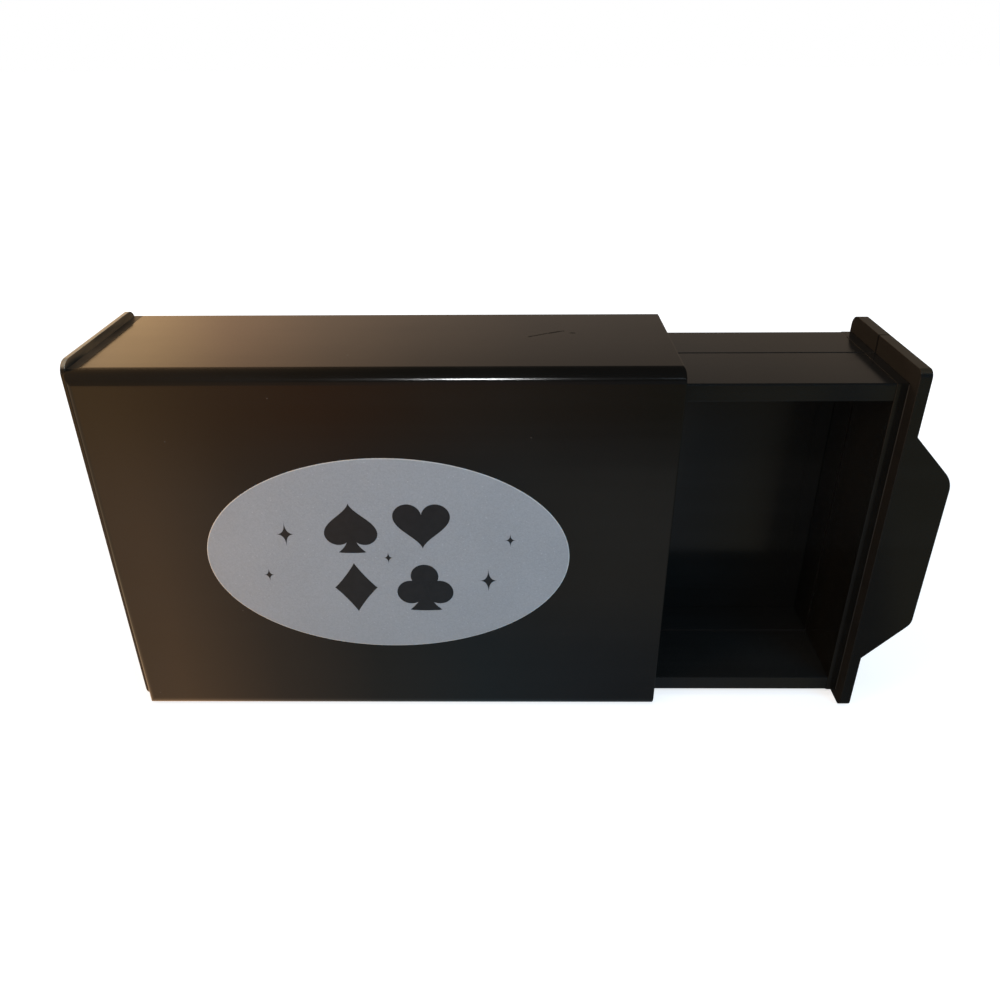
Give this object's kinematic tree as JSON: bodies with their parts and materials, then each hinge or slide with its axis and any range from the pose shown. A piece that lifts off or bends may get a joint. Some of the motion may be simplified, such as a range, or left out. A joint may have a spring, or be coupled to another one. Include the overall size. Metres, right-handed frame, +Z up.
{
  "type": "conjuring drawer box",
  "caption": "Flat glossy black box with an oval silver badge, an open-faced drawer pulled out by a tapered tab, and a hidden load tray that slides inside the drawer.",
  "frame": {"origin": "centre of the casing's underside, on the surface that the box stands on", "axes": "+X along the casing towards the drawer's mouth, +Y from the labelled front to the back, +Z up"},
  "size_m": [0.2227, 0.0475, 0.1081],
  "materials": {
    "casing_black": "glossy black sheet, bent and glued",
    "drawer_black": "glossy black sheet with cut edges",
    "tray_black": "thin glossy black sheet",
    "inner_black": "sawn black sheet, out of sight",
    "label_silver": "satin silver foil with a fine metallic grain and a black print",
    "magnet_nickel": "nickel plated disc",
    "keeper_steel": "punched steel disc"
  },
  "bodies": {
    "casing": {"casing_wrap": "casing_black", "back_panel": "casing_black", "end_plate": "casing_black", "end_block": "inner_black", "oval_label": "label_silver", "mouth_stop": "inner_black"},
    "drawer": {"front_upper_rail": "drawer_black", "front_lower_rail": "drawer_black", "rear_upper_rail": "drawer_black", "rear_lower_rail": "drawer_black", "front_end_wall": "drawer_black", "rear_end_wall": "drawer_black", "drawer_tail_wall": "drawer_black", "drawer_floor": "drawer_black", "holding_magnets": "magnet_nickel", "pull_plate": "drawer_black", "rear_plate": "drawer_black", "drawer_catch": "inner_black"},
    "load_tray": {"tray_floor": "tray_black", "tray_upper_wall": "tray_black", "tray_lower_wall": "tray_black", "tray_tail_wall": "tray_black", "tray_mouth_wall": "tray_black", "keeper_discs": "keeper_steel"}
  },
  "joints": [
    {"name": "drawer_slide", "type": "slide", "parent": "casing", "child": "drawer", "axis": [1, 0, 0], "range_m": [-0.0553, 0.0503]},
    {"name": "load_tray_slide", "type": "slide", "parent": "drawer", "child": "load_tray", "axis": [1, 0, 0], "range_m": [0, 0.0564]}
  ]
}
